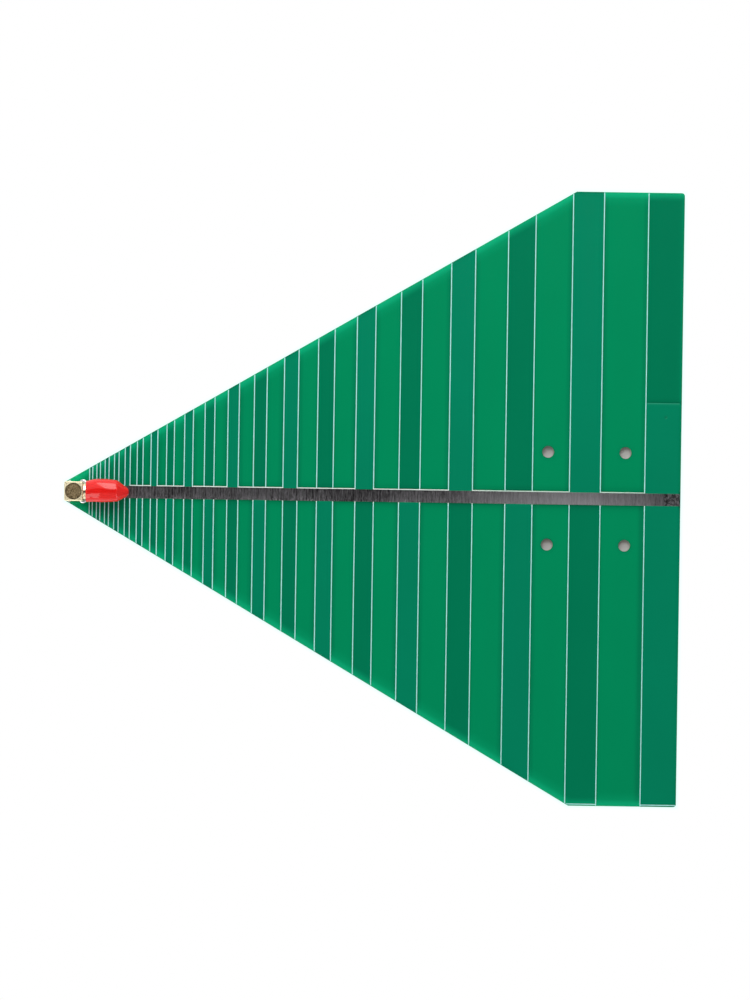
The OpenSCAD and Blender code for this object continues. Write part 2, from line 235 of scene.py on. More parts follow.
def turned_about_z(profile, centre, count, lobes=0.0, phase=0.0):
    """A profile of (r, z) turned about an upright line: (cx + r cos a, cy + r sin a, z).

    Lobes let the radius swell and shrink with three and five waves round the circle."""
    a = np.linspace(0, 2 * np.pi, count, endpoint=False)
    r, z = profile[:, :1], profile[:, 1:]
    r = r * (1 + lobes * (np.sin(3 * a + phase) + 0.6 * np.sin(5 * a + 2.3 * phase)))
    return np.stack([centre[0] + r * np.cos(a), centre[1] + r * np.sin(a),
                     np.broadcast_to(z, r.shape)], axis=2)


def smooth_step(t):
    """Three times the square less twice the cube of a number held between 0 and 1."""
    t = np.clip(t, 0, 1)
    return t ** 2 * (3 - 2 * t)


def grid_faces(rows, columns, closed):
    """Quads between neighbouring points of rings. The last ring joins the first if closed."""
    i = np.arange(rows if closed else rows - 1)[:, None]
    j = np.arange(columns)[None]
    i2, j2 = (i + 1) % rows, (j + 1) % columns
    corners = [i * columns + j, i * columns + j2, i2 * columns + j2, i2 * columns + j]
    return np.stack(np.broadcast_arrays(*corners), axis=2).reshape(-1, 4)


def add_object(name, data):
    """A new object in the scene."""
    thing = bpy.data.objects.new(name, data)
    bpy.context.scene.collection.objects.link(thing)
    return thing


def make_piece(name, patches, sharp_angle=35.0):
    """One mesh object from grids of points, each given as (rings, whether they close).

    Points that fall together, as at poles and seams, become one, and a quad that loses a corner
    to that becomes a triangle."""
    points, quads, offset = [], [], 0
    for rings, closed in patches:
        points.append(rings.reshape(-1, 3))
        quads.append(grid_faces(*rings.shape[:2], closed) + offset)
        offset += len(points[-1])
    points, quads = np.concatenate(points), np.concatenate(quads)
    _, first, place = np.unique(np.round(points / SAME_POINT).astype(np.int64), axis=0,
                                return_index=True, return_inverse=True)
    points, quads = points[first], place.reshape(-1)[quads]
    kept = quads != np.roll(quads, -1, axis=1)
    whole = kept.sum(axis=1) >= 3
    quads, kept = quads[whole], kept[whole]
    sizes = kept.sum(axis=1)
    corners = quads[kept]

    mesh = bpy.data.meshes.new(name)
    mesh.vertices.add(len(points))
    mesh.vertices.foreach_set("co", points.astype(np.float32).ravel())
    mesh.loops.add(len(corners))
    mesh.loops.foreach_set("vertex_index", corners.astype(np.int32))
    mesh.polygons.add(len(sizes))
    mesh.polygons.foreach_set("loop_start", (np.cumsum(sizes) - sizes).astype(np.int32))
    mesh.update(calc_edges=True)
    if mesh.validate():
        raise RuntimeError(f"{name}: the mesh has bad faces")
    shell = bmesh.new()
    shell.from_mesh(mesh)
    bmesh.ops.recalc_face_normals(shell, faces=shell.faces)
    open_edges = sum(not edge.is_manifold for edge in shell.edges)
    shell.to_mesh(mesh)
    shell.free()
    if open_edges:
        raise RuntimeError(f"{name}: {open_edges} edges are open")
    mesh.shade_smooth()
    mesh.set_sharp_from_angle(angle=math.radians(sharp_angle))
    return add_object(name, mesh)


def settle(piece, finish, body, slot, *nodes):
    """Gives a piece its finish and its body, and hides the nodes that it stands for. The slot is
    not used.
    """
    piece.data.materials.append(finish)
    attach(piece, body)
    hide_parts(*nodes)


def repaint(finish, *nodes):
    """Gives nodes of the solids a finish in all their material slots."""
    for node in nodes:
        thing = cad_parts[node]
        if not thing.material_slots:
            thing.data.materials.append(finish)
        for place in thing.material_slots:
            place.material = finish


# Shader maths


class Reading:
    """One output of a node. Arithmetic on it adds Math nodes to the same finish."""

    def __init__(self, finish, socket):
        self.finish, self.socket = finish, socket

    def other(self, name):
        """Another output of the same node."""
        return Reading(self.finish, self.finish.pick(self.socket.node.outputs, name))

    def maths(self, operation, *values):
        """Adds one Math node."""
        return self.finish.node("ShaderNodeMath", {"operation": operation}, dict(enumerate(values)))

    def __add__(self, value):
        return self.maths("ADD", self, value)

    def __radd__(self, value):
        return self.maths("ADD", value, self)

    def __sub__(self, value):
        return self.maths("SUBTRACT", self, value)

    def __rsub__(self, value):
        return self.maths("SUBTRACT", value, self)

    def __mul__(self, value):
        return self.maths("MULTIPLY", self, value)

    def __rmul__(self, value):
        return self.maths("MULTIPLY", value, self)

    def __truediv__(self, value):
        return self.maths("DIVIDE", self, value)

    def __rtruediv__(self, value):
        return self.maths("DIVIDE", value, self)

    def __pow__(self, value):
        return self.maths("POWER", self, value)

    def __rpow__(self, value):
        return self.maths("POWER", value, self)

    def __neg__(self):
        return self.maths("MULTIPLY", self, -1.0)

    def __abs__(self):
        return self.maths("ABSOLUTE", self)

    def __gt__(self, value):
        return self.maths("GREATER_THAN", self, value)

    def __lt__(self, value):
        return self.maths("LESS_THAN", self, value)

    def least(self, value):
        return self.maths("MINIMUM", self, value)

    def most(self, value):
        return self.maths("MAXIMUM", self, value)

    def floor(self):
        return self.maths("FLOOR", self)

    def sine(self):
        return self.maths("SINE", self)

    def log(self, base):
        return self.maths("LOGARITHM", self, base)

    def fade(self, reach):
        """1 at zero, falling off as the exponential of minus the value over the reach."""
        return self.maths("EXPONENT", self.most(0.0) * (-1.0 / reach))

    def ease(self, low, high):
        """0 below low, 1 above high, with a smooth step between."""
        return self.finish.node(
            "ShaderNodeMapRange", {"interpolation_type": "SMOOTHSTEP"},
            {"Value": self, "From Min": low, "From Max": high})

    def stretch(self, rise, fall):
        """A smooth step up over the first pair of values, times one down over the second."""
        return self.ease(*rise) * (1 - self.ease(*fall))


class Finish:
    """One procedural material. Its places are in millimetres of the shared frame."""

    def __init__(self, name, holder=None):
        self.holder = holder or bpy.data.materials.new(name)
        self.holder.use_nodes = True
        self.tree = self.holder.node_tree
        self.tree.nodes.clear()

    @staticmethod
    def pick(sockets, key):
        """A socket by its number, its identifier or its name."""
        if isinstance(key, int):
            return sockets[key]
        return next(s for match in ("identifier", "name") for s in sockets
                    if getattr(s, match) == key)

    def node(self, kind, settings=None, values=None, out=0):
        """Adds a node: its settings first, then the values or links of its sockets.

        Gives one output, or the node itself where it has none."""
        made = self.tree.nodes.new(kind)
        for key, value in (settings or {}).items():
            setattr(made, key, value)
        for key, value in (values or {}).items():
            socket = self.pick(made.inputs, key)
            if isinstance(value, Reading):
                self.tree.links.new(value.socket, socket)
            elif hasattr(socket.default_value, "__len__") and len(socket.default_value) == 4:
                socket.default_value = (*value[:3], 1.0)
            else:
                socket.default_value = value
        return Reading(self, self.pick(made.outputs, out)) if made.outputs else made

    def places(self):
        """The Object coordinates in millimetres, as a vector and its three numbers."""
        point = self.dim(self.node("ShaderNodeTexCoord", out="Object"), 1 / MM)
        x = self.node("ShaderNodeSeparateXYZ", {}, {0: point})
        return point, x, x.other("Y"), x.other("Z")

    def noise(self, point, scale, detail=2.0, rough=0.5):
        """Smooth random numbers about 0.5. The scale may be three numbers, one for each axis."""
        if not isinstance(scale, float):
            point = self.node("ShaderNodeVectorMath", {"operation": "MULTIPLY"},
                              {0: point, 1: scale})
            scale = 1.0
        return self.node("ShaderNodeTexNoise", {}, {
            "Vector": point, "Scale": scale, "Detail": detail, "Roughness": rough})

    def blend(self, factor, first, second):
        """A colour between two colours."""
        return self.node("ShaderNodeMix", {"data_type": "RGBA"},
                         {"Factor_Float": factor, "A_Color": first, "B_Color": second},
                         "Result_Color")

    def dim(self, shade, factor):
        """A colour or a vector multiplied by one number."""
        return self.node("ShaderNodeVectorMath", {"operation": "SCALE"},
                         {0: shade, "Scale": factor})

    def surface(self, shade, rough, height, depth, more=None):
        """Ends the finish in a Principled shader.

        A height of 1 stands for the depth in metres, and tilts the normal."""
        normal = self.node("ShaderNodeBump", {},
                           {"Height": height, "Distance": depth, "Strength": 1.0})
        shader = self.node("ShaderNodeBsdfPrincipled", {}, {
            "Base Color": shade, "Roughness": rough, "Normal": normal, **(more or {})})
        self.node("ShaderNodeOutputMaterial", {}, {"Surface": shader})
        return self.holder


# Finishes

# The etched pattern, in millimetres; a reach is a distance from the pattern's apex
APEX_X = BOARD_LO[0] / MM - 9.05
FIRST_REACH = 17.06
LAST_REACH = 197.15
REAR_ELEMENT = 197.85
GROWTH = 1.1375
FILL = 1.0582
COPPER_SETBACK = 0.16
SOFT_EDGE = 0.03
STUB_END = 31.5
STUB_OVERLAP = 0.05
BOARD_THICK = BOARD_HI[2] / MM
FLANK = math.radians(30.4)
TIP_HALF = 3.0
BOOM_HALF = 2.0
HOLE_PLACE = (12.6, 15.1)
HOLE_RADIUS = 1.9
HOLE_SHADE = 0.3
STUB_SHADE = 0.6
STUB_RIM = 0.22
DENT_PLACE = (25.6, 26.9)
WEAVE_PITCH = 0.55
FACE_DEPTH = 0.004
FAR = 500.0

# Linear colours that a finish drifts towards
CLEAN_INK = (0.9, 0.98, 0.93)
GOLD_TARNISH = (0.55, 0.36, 0.13)
LID_WORN = (0.37, 0.275, 0.145)
LID_SPECK = (0.035, 0.024, 0.009)
DEEP_RED = (0.81, 0.01, 0.012)
WAX_WHITE = (0.86, 0.86, 0.84)
WAX_YELLOW = (0.78, 0.76, 0.70)
FLUX_BROWN = (0.42, 0.30, 0.13)


def pattern(x, y, z):
    """Four readings of the etched pattern: 1 inside an element, 1 where the period's own element
    is on the face that is seen, and the distances to copper on that face and on the other.

    The reach r lies in period n, the whole part of log(r / last) to the base of the growth. An
    element fills r from its own start to the fill times that start. The faces take turns: an
    element is on the component face where n plus 1 for the +Y side is even, else below."""
    reach = (x - APEX_X).most(1.0)
    step = (reach / LAST_REACH).log(GROWTH).floor()
    start = LAST_REACH * GROWTH ** step
    tail = reach > LAST_REACH
    front = tail * (REAR_ELEMENT - LAST_REACH) + start
    into = reach - front - COPPER_SETBACK
    left = start * FILL - reach - COPPER_SETBACK + tail * FAR
    ahead = (start * GROWTH - reach + COPPER_SETBACK).most(FIRST_REACH - reach)
    behind = (-into).most(-left) + (reach < FIRST_REACH) * FAR
    element = into.ease(-SOFT_EDGE, SOFT_EDGE) * left.ease(-SOFT_EDGE, SOFT_EDGE)
    element = element * (reach > FIRST_REACH - 0.2)
    half = (step + (y > 0.0)) * 0.5
    own = abs(1 - (half - half.floor()) * 2.0 - (z < BOARD_THICK / 2))
    return element, own, ahead + own * (behind - ahead), behind + own * (ahead - behind)


def flank_distance(x, y):
    """Distance in millimetres to the sloping flanks and the short sides."""
    side = abs(y)
    slope = ((x - BOARD_LO[0] / MM) * math.tan(FLANK) + TIP_HALF - side) * math.cos(FLANK)
    return slope.least(BOARD_HI[1] / MM - side)


def edge_distance(x, y):
    """Distance in millimetres to the nearest edge of the board: flanks, sides, rear and tip."""
    return flank_distance(x, y).least(BOARD_HI[0] / MM - x).least(x - BOARD_LO[0] / MM)


def hole_distance(x, y):
    """Distance in millimetres from the rim of the nearest mounting hole."""
    along, across = abs(x) - HOLE_PLACE[0], abs(y) - HOLE_PLACE[1]
    return (across * across + along * along) ** 0.5 - HOLE_RADIUS


def boom_distance(y):
    """Distance in millimetres from the nearer long edge of the boom."""
    return abs(y) - BOOM_HALF


def stub_distance(x, y, z):
    """Distance in millimetres past the end of the last element's short stub, which is at +Y on
    the component face and at -Y below. In front of that element it is very far."""
    side = y * ((z > BOARD_THICK / 2) * 2.0 - 1.0)
    return side - STUB_END + (x - APEX_X < REAR_ELEMENT) * FAR


def tip_shade(x):
    """Weight of the painted shade among the small elements near the tip: 1 there, easing to 0 on
    both sides.
    """
    return x.stretch((-163.0, -161.0), (-150.0, -134.0))


def laminate_finish(look):
    """Green mask over translucent glass laminate, tan on the cut edge. It is darker with painted
    shade beside copper, round the holes, beside the boom, past the stub's end and among the small
    elements near the tip, and paler with a painted glow of light near a cut edge."""
    f = Finish("laminate")
    point, x, y, z = f.places()
    element, own, face_gap, other_gap = pattern(x, y, z)
    bare = 1 - element

    # Painted shade beside copper of the face seen, and weaker beside copper of the other face.
    shade_reach = look.shade_reach / MM
    shade = ((1 - face_gap.ease(0.0, shade_reach)) * 0.52).most(
        (1 - other_gap.ease(0.0, shade_reach * 0.6)) * 0.4)
    base = f.blend(shade, look.bare_green, look.shade_green)
    base = f.blend(element, base, look.seen_green)
    base = f.blend(element * own, base, look.mask_green)

    # Painted glow of light let through the cut edges: strong along the flanks, a little stronger at
    # +Y, weak at the rear edge, none over copper of the face seen.
    reach = look.glow_reach / MM
    flank, rear = flank_distance(x, y), BOARD_HI[0] / MM - x
    close = 1 - flank.ease(bare * 0.3 * reach, (1.25 - bare * 0.25) * reach)
    wide = bare * (1 - flank.ease(0.4 * reach, 2.1 * reach))
    glow = (close * (0.78 - bare * 0.14) + wide * 0.36) * ((y > 0.0) * 0.12 + 0.88)
    glow = glow.most((1 - rear.ease(0.0, 0.7 * reach)) * 0.18) * (1 - element * own)
    base = f.blend(glow, base, look.glow_green)

    hole, past = hole_distance(x, y), stub_distance(x, y, z)
    # Painted shade: a dark ring round each hole, a dark band beside the boom's tin and a darker
    # band past the stub's end.
    base = f.blend(hole.fade(HOLE_SHADE) * 0.6, base, look.shade_green)
    base = f.dim(base, 1 - boom_distance(y).fade(look.boom_shade / MM) * 0.46)
    base = f.dim(base, 1 - past.fade(STUB_SHADE) * (past > -STUB_OVERLAP) * 0.35)
    cloud = f.noise(point, 0.035, 3.0)
    grain = f.noise(point, 2.2, 3.0, 0.6)
    wave = 2 * math.pi / WEAVE_PITCH
    weave = (x * wave).sine() * (y * wave).sine()
    # Random tone and weave, less the painted shade among the small elements near the tip.
    base = f.dim(base, 0.93 + cloud * 0.1 + grain * 0.04 + weave * 0.012 - tip_shade(x) * 0.14)

    flat = (z > BOARD_THICK - FACE_DEPTH).most(z < FACE_DEPTH)
    plies = f.noise(point, (0.5, 0.5, 9.0), 3.0, 0.6)
    fibres = f.noise(point, (5.0, 5.0, 1.2))
    cut = f.blend(plies, look.core_tan, look.glow_green)
    cut = f.dim(cut, 0.6 + plies * 0.5 + fibres * 0.3)
    cut = f.blend(hole < 0.2, cut, look.drilled_tan)
    peel = grain * 0.25 + weave * 0.06 + f.noise(point, 0.6) * 0.5
    height = flat * peel + (1 - flat) * (fibres + plies)
    rough = 0.62 - flat * (0.45 - grain * 0.08)
    return f.surface(f.blend(flat, cut, base), rough, height, 0.00003, {"Specular IOR Level": 0.13})


def masked_copper_finish(look):
    """Solder mask over copper: a slightly bluer green with a fine orange peel and a faint rolling
    grain, and one small dent. Painted light makes it a little paler towards +Y; a painted
    highlight lines the stub's end; painted shade darkens the dent and the elements near the tip."""
    f = Finish("masked_copper")
    point, x, y, z = f.places()
    cloud = f.noise(point, 0.045, 3.0)
    grain = f.noise(point, 1.8, 3.0, 0.6)
    roll = f.noise(point, (0.05, 1.6, 1.0))
    past = stub_distance(x, y, z)
    # Painted highlight along the stub's end, where the mask's edge catches light.
    rim = (-past).fade(STUB_RIM) * (past < STUB_OVERLAP)
    shade = f.blend(rim * 0.65, look.mask_green, look.rim_green)
    along, across = x - DENT_PLACE[0], y - DENT_PLACE[1]
    dent = (1 - (along * along + across * across).ease(0.02, 0.3)) * (z > 0.0)
    tone = 0.92 + cloud * 0.1 + grain * 0.04 + roll * 0.03
    # Painted shade in the dent and among the small elements near the tip, painted light towards +Y.
    tone = tone - dent * 0.14 + y.ease(0.0, 40.0) * 0.05 - tip_shade(x) * 0.12
    height = grain * 0.5 + f.noise(point, 0.6) - dent * 4.0
    return f.surface(f.dim(shade, tone), 0.17 + grain * 0.08, height, 0.00002,
                     {"Specular IOR Level": 0.2})


def ink_finish(look):
    """Screen-printed ink: white with thin places, a chalky surface and a tint of the mask below,
    cleaner in the lines along the boom."""
    f = Finish("ink")
    point, x, y, _ = f.places()
    thin = f.noise(point, 1.3, 4.0, 0.65).ease(0.35, 0.75)
    beside = 1 - boom_distance(y).ease(0.25, 0.5)
    shade = f.blend(beside, look.ink_white, CLEAN_INK)
    tint = thin * 0.2 + beside * x.ease(-45.0, -25.0) * 0.25
    return f.surface(f.blend(tint, shade, look.glow_green), 0.55 + thin * 0.25,
                     f.noise(point, 9.0), 0.00001, {"Specular IOR Level": 0.3})


def tin_finish(tin):
    """Levelled tin: grey metal with fine streaks across the strip, dark pits, and stains at the
    rear end. It is darker in front and brighter towards the rear, and darker along its +Y edge."""
    f = Finish("boom_tin")
    point, x, y, _ = f.places()
    streak = f.noise(point, (2.4, 0.2, 1.0), 4.0, 0.75)
    fine = f.noise(point, (5.0, 0.8, 1.0), 2.0, 0.6)
    cloud = f.noise(point, (0.05, 0.12, 1.0))
    # Weight of the front part, which is drawn darker, with stronger pits and flecks.
    dull = 1 - x.ease(-50.0, -14.0)
    pits = f.noise(point, 2.6, 2.0, 0.7).ease(0.6, 0.7) * (0.3 + dull * 0.7)
    flecks = f.noise(point, 1.5, 3.0, 0.7).ease(0.56, 0.66) * (-y).ease(0.4, 1.9)
    stain = f.noise(point, (1.6, 1.1, 1.0), 3.0, 0.7).ease(0.44, 0.56)

    level = 0.88 - dull * 0.44
    level = level - (1 - x.ease(-68.0, -60.0)) * (0.09 + x.ease(-92.0, -80.0) * 0.11)
    level = level + x.stretch((-15.0, -7.0), (1.0, 7.0)) * 0.24 - x.ease(8.0, 26.0) * 0.42
    grit = (streak - 0.5) * 1.5 + (fine - 0.5) * 0.7 + (cloud - 0.5) * 0.3
    tone = (level + grit * (0.7 + dull * 0.3) + flecks * (0.1 + dull * 0.4)).most(0.06)
    tone = tone * (1.13 - y.ease(-1.9, 1.9) * 0.26 - y.ease(1.2, 1.9) * (0.06 + dull * 0.16))
    along = 1.1 - x.stretch((-132.0, -124.0), (-104.0, -97.0)) * 0.19
    along = along - x.ease(-75.0, -50.0) * 0.1 - x.ease(-15.0, -5.0) * 0.06
    along = along + x.ease(8.0, 22.0) * 0.14
    rear = 1 + x.ease(25.4, 27.0) * 0.3 - stain * x.ease(24.6, 26.0) * 0.9
    shade = f.dim(tin.grey, tone * along * (1 - pits * 0.45) * rear)
    rough = 0.3 + fine * 0.18 + pits * 0.25
    height = streak * 0.7 + fine * 0.4 - pits * 0.6
    return f.surface(shade, rough, height, 0.00002, {"Metallic": 0.92 - pits * 0.5})


def gold_finish(jack):
    """Bright gold plating: satin with fine mill marks on the block, bright on the barrel, with a
    little tarnish and soft handling wear."""
    f = Finish("plated_gold")
    point, x, _, _ = f.places()
    cloud = f.noise(point, 0.8, 3.0)
    grain = f.noise(point, 14.0, 3.0, 0.6)
    milled = f.noise(point, (9.0, 9.0, 0.5), 3.0, 0.6)
    tarnish = f.noise(point, 1.9, 4.0, 0.65).ease(0.55, 0.8)
    base = f.dim(f.blend(tarnish * 0.35, jack.gold, GOLD_TARNISH), 0.94 + cloud * 0.12)
    satin = (x < BLOCK_FACE_X / MM - 0.05) * 0.28
    rough = 0.16 + satin * (0.7 + milled * 0.6) + grain * 0.08 + tarnish * 0.1
    height = grain * 0.5 + satin * milled * 6.0
    return f.surface(base, rough, height, 0.00001, {"Metallic": 1.0})


def lid_finish(jack):
    """Pressed lid with spotted, dark brown plating, partly tarnish and partly a painted reflection
    of the dark room overhead, with painted shade towards its rim.
    """
    f = Finish("tarnished_lid")
    point, x, y, _ = f.places()
    out = ((x - JACK_X / MM) ** 2.0 + y * y) ** 0.5
    spots = f.noise(point, 1.7, 4.0, 0.75)
    speck = f.noise(point, 3.1, 3.0, 0.7).ease(0.5, 0.6)
    base = f.blend(spots.ease(0.4, 0.62), jack.lid_brown, LID_WORN)
    base = f.blend(speck * 0.75, base, LID_SPECK)
    # Painted shade towards the rim, where the lid sits down in its seat.
    base = f.dim(base, 1.0 - out.ease(1.9, 2.65) * 0.4)
    return f.surface(base, 0.5 + speck * 0.25, spots * 0.6 - speck * 0.5, 0.00004,
                     {"Metallic": 0.45 + spots * 0.3})


def vinyl_finish(cap):
    """Soft dipped vinyl: clear red with slow colour drift, a glossy skin and fine ripples."""
    f = Finish("red_vinyl")
    point = f.places()[0]
    drift = f.noise(point, 0.22)
    skin = f.noise(point, 1.1, 3.0)
    base = f.dim(f.blend(drift * 0.35, cap.red, DEEP_RED), 0.95 + skin * 0.1)
    height = skin * 0.7 + f.noise(point, 4.0) * 0.2
    return f.surface(base, 0.05 + skin * 0.06, height, 0.00001, {
        "Specular IOR Level": 0.45, "Subsurface Weight": 0.12,
        "Subsurface Radius": (1.0, 0.25, 0.2), "Subsurface Scale": 0.0008})


def insulator_finish():
    """Turned white fluoropolymer: waxy, with a fine grain and a little yellowing."""
    f = Finish("white_insulator")
    point = f.places()[0]
    wax = f.noise(point, 1.4, 3.0)
    base = f.blend(wax * 0.4, WAX_WHITE, WAX_YELLOW)
    return f.surface(base, 0.36 + wax * 0.15, f.noise(point, 6.0), 0.00001)


def solder_finish(solder):
    """Set solder: bright silver with a frosty grain, dull patches and thin brown flux."""
    f = Finish("solder")
    point = f.places()[0]
    frost = f.noise(point, 7.0, 4.0, 0.65)
    flux = f.noise(point, 1.1, 3.0).ease(0.58, 0.78)
    base = f.blend(flux * 0.3, solder.silver, FLUX_BROWN)
    base = f.dim(base, 0.85 + frost * 0.25)
    return f.surface(base, 0.22 + frost * 0.2, frost, 0.00002, {"Metallic": 1.0 - flux * 0.5})


# Pieces

# Small lengths of the pieces, in metres
PAD_MARGIN = 0.0002
PAD_OVERLAP = 0.0003
STRIP_START = 0.0026
LEAST_ROUND = 0.00006
LID_GAP = 0.00002
NECK_FILLET = 0.00018
NECK_ROOT = 0.0006
NECK_STEP = 0.00005
MOUTH_CHAMFER = 0.00015
POST_ROUND = 0.00012
LID_BREAK = 0.00008
LEAN_RISE = 0.003
LEAN_FALL = 0.0085

# Shares of the lean that the nose takes back, and of a joint's radius in its lobes
LEAN_BACK = 1.15
JOINT_LOBES = 0.012

# Share of a thread's half pitch that is flat at the root, and that slopes
THREAD_ROOT, THREAD_SLOPE = 0.2, 0.64

# Sine waves of the tin's ripple: lengths in millimetres, phases and shares
RIPPLE_LENGTHS = np.array([0.47, 0.83, 1.37, 2.9, 7.3])
RIPPLE_PHASES = np.array([0.4, 2.1, 4.4, 1.3, 5.2])
RIPPLE_SHARES = np.array([0.28, 0.26, 0.2, 0.16, 0.1])


def post_place(jack, corner):
    """The upright line of one ground post."""
    return JACK_X + corner[0] * jack.post_pitch / 2, corner[1] * jack.post_pitch / 2


def ripple(x):
    """Uneven ripple along a line: the sum of five sine waves of unlike lengths, from -1 to 1."""
    return np.sin(2 * np.pi * x[..., None] / (RIPPLE_LENGTHS * MM) + RIPPLE_PHASES) @ RIPPLE_SHARES


def tin_strip(tin, start, end, half_width, seat, height):
    """A flat strip along X: a closed flattened section carried along the boom.

    The section is a superellipse's upper half on a flat foot. Its width and height follow an
    uneven ripple along X, and height is signed, so that a strip may lie on either face."""
    squareness, wave = 0.35, 0.14
    x = np.linspace(start, end, 760)
    a = np.linspace(0, np.pi, 13)
    across = np.sign(np.cos(a)) * np.abs(np.cos(a)) ** squareness
    rise = np.abs(np.sin(a)) ** squareness
    foot = np.linspace(-1, 1, 5)[1:-1]
    across, rise = np.concatenate([across, foot]), np.concatenate([rise, 0 * foot])
    width = half_width - tin.edge_wave * (0.5 + 0.5 * ripple(1.7 * x))
    level = height * (1 - wave + wave * ripple(x)) - np.sign(height) * tin.crown
    crown = np.sign(height) * tin.crown * (1 - across ** 2) * rise
    grid = np.stack([
        np.broadcast_to(x[:, None], (len(x), len(across))), width[:, None] * across[None],
        seat + level[:, None] * rise[None] + crown[None]], axis=2)
    ends = np.broadcast_to(grid[[0, -1]].mean(axis=1, keepdims=True), (2, len(across), 3))
    return np.concatenate([ends[:1], grid, ends[1:]]), False


def pad_mound(tin, jack, corner):
    """Solder set round a post as a flat drop: its height is the climb times the root of 1 less
    the fourth power of the way to the pad's rim.

    The rim is a circle cut off along the board's sloping edge and tip, so its radius is the least
    of the three distances in each direction. The two drops at the tip are the lower ones."""
    cx, cy = post_place(jack, corner)
    climb, least = tin.pad_climb * (0.6 + 0.4 * corner[0]), 1e-6
    a = np.linspace(0, 2 * np.pi, 48, endpoint=False)
    rise_to_flank = (cx - BOARD_LO[0]) * math.tan(FLANK) + TIP_HALF * MM - abs(cy)
    flank = rise_to_flank * math.cos(FLANK) - PAD_MARGIN
    tip = cx - BOARD_LO[0] - PAD_MARGIN
    to_flank = np.cos(a) * -math.sin(FLANK) + np.sin(a) * (corner[1] * math.cos(FLANK))
    to_flank, to_tip = np.maximum(to_flank, least), np.maximum(-np.cos(a), least)
    rim = np.minimum(np.minimum(tin.pad_radius, flank / to_flank), tip / to_tip)
    way = np.sin(np.linspace(0, np.pi / 2, 17))
    rise = np.sqrt(1 - way ** 4) * climb + SEAT_Z - FOIL_TOP
    way, rise = np.concatenate([way, [1.0, 0.0]]), np.concatenate([rise, [0.0, 0.0]])
    r = way[:, None] * rim[None]
    grid = np.stack([cx + r * np.cos(a), cy + r * np.sin(a),
                     np.broadcast_to(FOIL_TOP + rise[:, None], r.shape)], axis=2)
    return grid, False


def block_shell(jack):
    """The jack's block: a rounded rectangle carried round the wall, from the chamber under the
    foot, up the outside and down into the lid's seat.

    Each row is the outline drawn in by an inset at a height, and the round rows stand at the
    outline's own angles."""
    top, r = SHELL_HI[2], jack.rim_round
    a = np.radians(np.linspace(0, 90, 7))
    insets = np.concatenate([r * (1 - np.sin(a)), r * (1 - np.cos(a))])
    heights = np.concatenate([SEAT_Z + r * (1 - np.cos(a)), top - r + r * np.sin(a)])
    wall = np.stack([
        rounded_rectangle(BLOCK_HALF - d, SHELL_HI[1] - d, max(jack.edge_round - d, LEAST_ROUND))
        for d in insets])
    heights = np.broadcast_to(heights[:, None, None], (*wall.shape[:2], 1))
    wall = np.concatenate([wall, heights], axis=2)
    turn = np.arctan2(wall[0, :, 1], wall[0, :, 0])
    seat, chamber = LID_RADIUS + LID_GAP, jack.chamber_radius
    radii = np.array([seat + LEAST_ROUND, seat, seat, chamber, chamber])
    levels = np.array([top, top - LEAST_ROUND, LID_LO[2], LID_LO[2], SEAT_Z])
    rings = np.stack([radii[:, None] * np.cos(turn), radii[:, None] * np.sin(turn),
                      np.broadcast_to(levels[:, None], (len(levels), len(turn)))], axis=2)
    return np.concatenate([wall, rings]) + np.array([JACK_X, 0, 0]), True


def barrel_shell(jack):
    """The barrel: neck, thread and socket turned about the barrel's axis.

    The thread's radius is a triangle wave with flat crests and roots of x over the pitch less the
    angle over a full turn, held under the two end chamfers."""
    count = 96
    end, start = SHELL_HI[0], BLOCK_FACE_X + jack.neck_length
    outer, neck, bore, socket = (
        jack.thread_radius, jack.neck_radius, jack.bore_radius, jack.socket_radius)
    a = np.linspace(0, 2 * np.pi, count, endpoint=False)[None]
    x = np.linspace(start, end, 150)[:, None]
    turn = (x - start) / jack.thread_pitch - a / (2 * np.pi)
    wave = np.abs(2 * (turn - np.floor(turn)) - 1)
    depth = jack.thread_depth * (1 - np.clip((wave - THREAD_ROOT) / THREAD_SLOPE, 0, 1))
    room = np.minimum(x - start, end - x) + outer - jack.end_chamfer
    thread = np.maximum(np.minimum(outer - depth, room), neck - NECK_STEP)
    root = BLOCK_FACE_X - NECK_ROOT
    fillet = arc((BLOCK_FACE_X + NECK_FILLET, neck + NECK_FILLET), NECK_FILLET, 180, 270, 6)
    foot = np.concatenate([[(root, bore), (root, neck + NECK_FILLET)], fillet, [(start, neck)]])
    mouth = np.array([(end, socket + MOUTH_CHAMFER), (end - MOUTH_CHAMFER, socket),
                      (SOCKET_FLOOR_X, socket), (SOCKET_FLOOR_X, bore)])
    radius = np.concatenate([foot[:, 1:] + 0 * a, thread, mouth[:, 1:] + 0 * a])
    along = np.concatenate([foot[:, 0], x[:, 0], mouth[:, 0]])
    return turned_about_x(along, radius, count), True


def post(jack, corner):
    """A ground post: a plain pin with a rounded end, turned about its own upright line."""
    r, foot, top = jack.post_radius, SHELL_LO[2], SEAT_Z + PAD_OVERLAP
    end = arc((r - POST_ROUND, foot + POST_ROUND), POST_ROUND, -90, 0, 5)
    profile = np.concatenate([[(0.0, foot)], end, [(r, top), (0.0, top)]])
    return turned_about_z(profile, post_place(jack, corner), 28), False


def lid_disc(jack):
    """The lid: a disc with a broken edge and a shallow dish, whose depth falls with the square of
    the radius."""
    r = np.linspace(0, LID_RADIUS - LID_BREAK, 16)
    dish = LID_HI[2] - jack.lid_dish * (1 - (r / r[-1]) ** 2)
    rim = [(LID_RADIUS, LID_HI[2] - LID_BREAK), (LID_RADIUS, LID_LO[2]), (0.0, LID_LO[2])]
    profile = np.concatenate([np.stack([r, dish], axis=1), rim])
    return turned_about_z(profile, (JACK_X, 0.0), 72), False


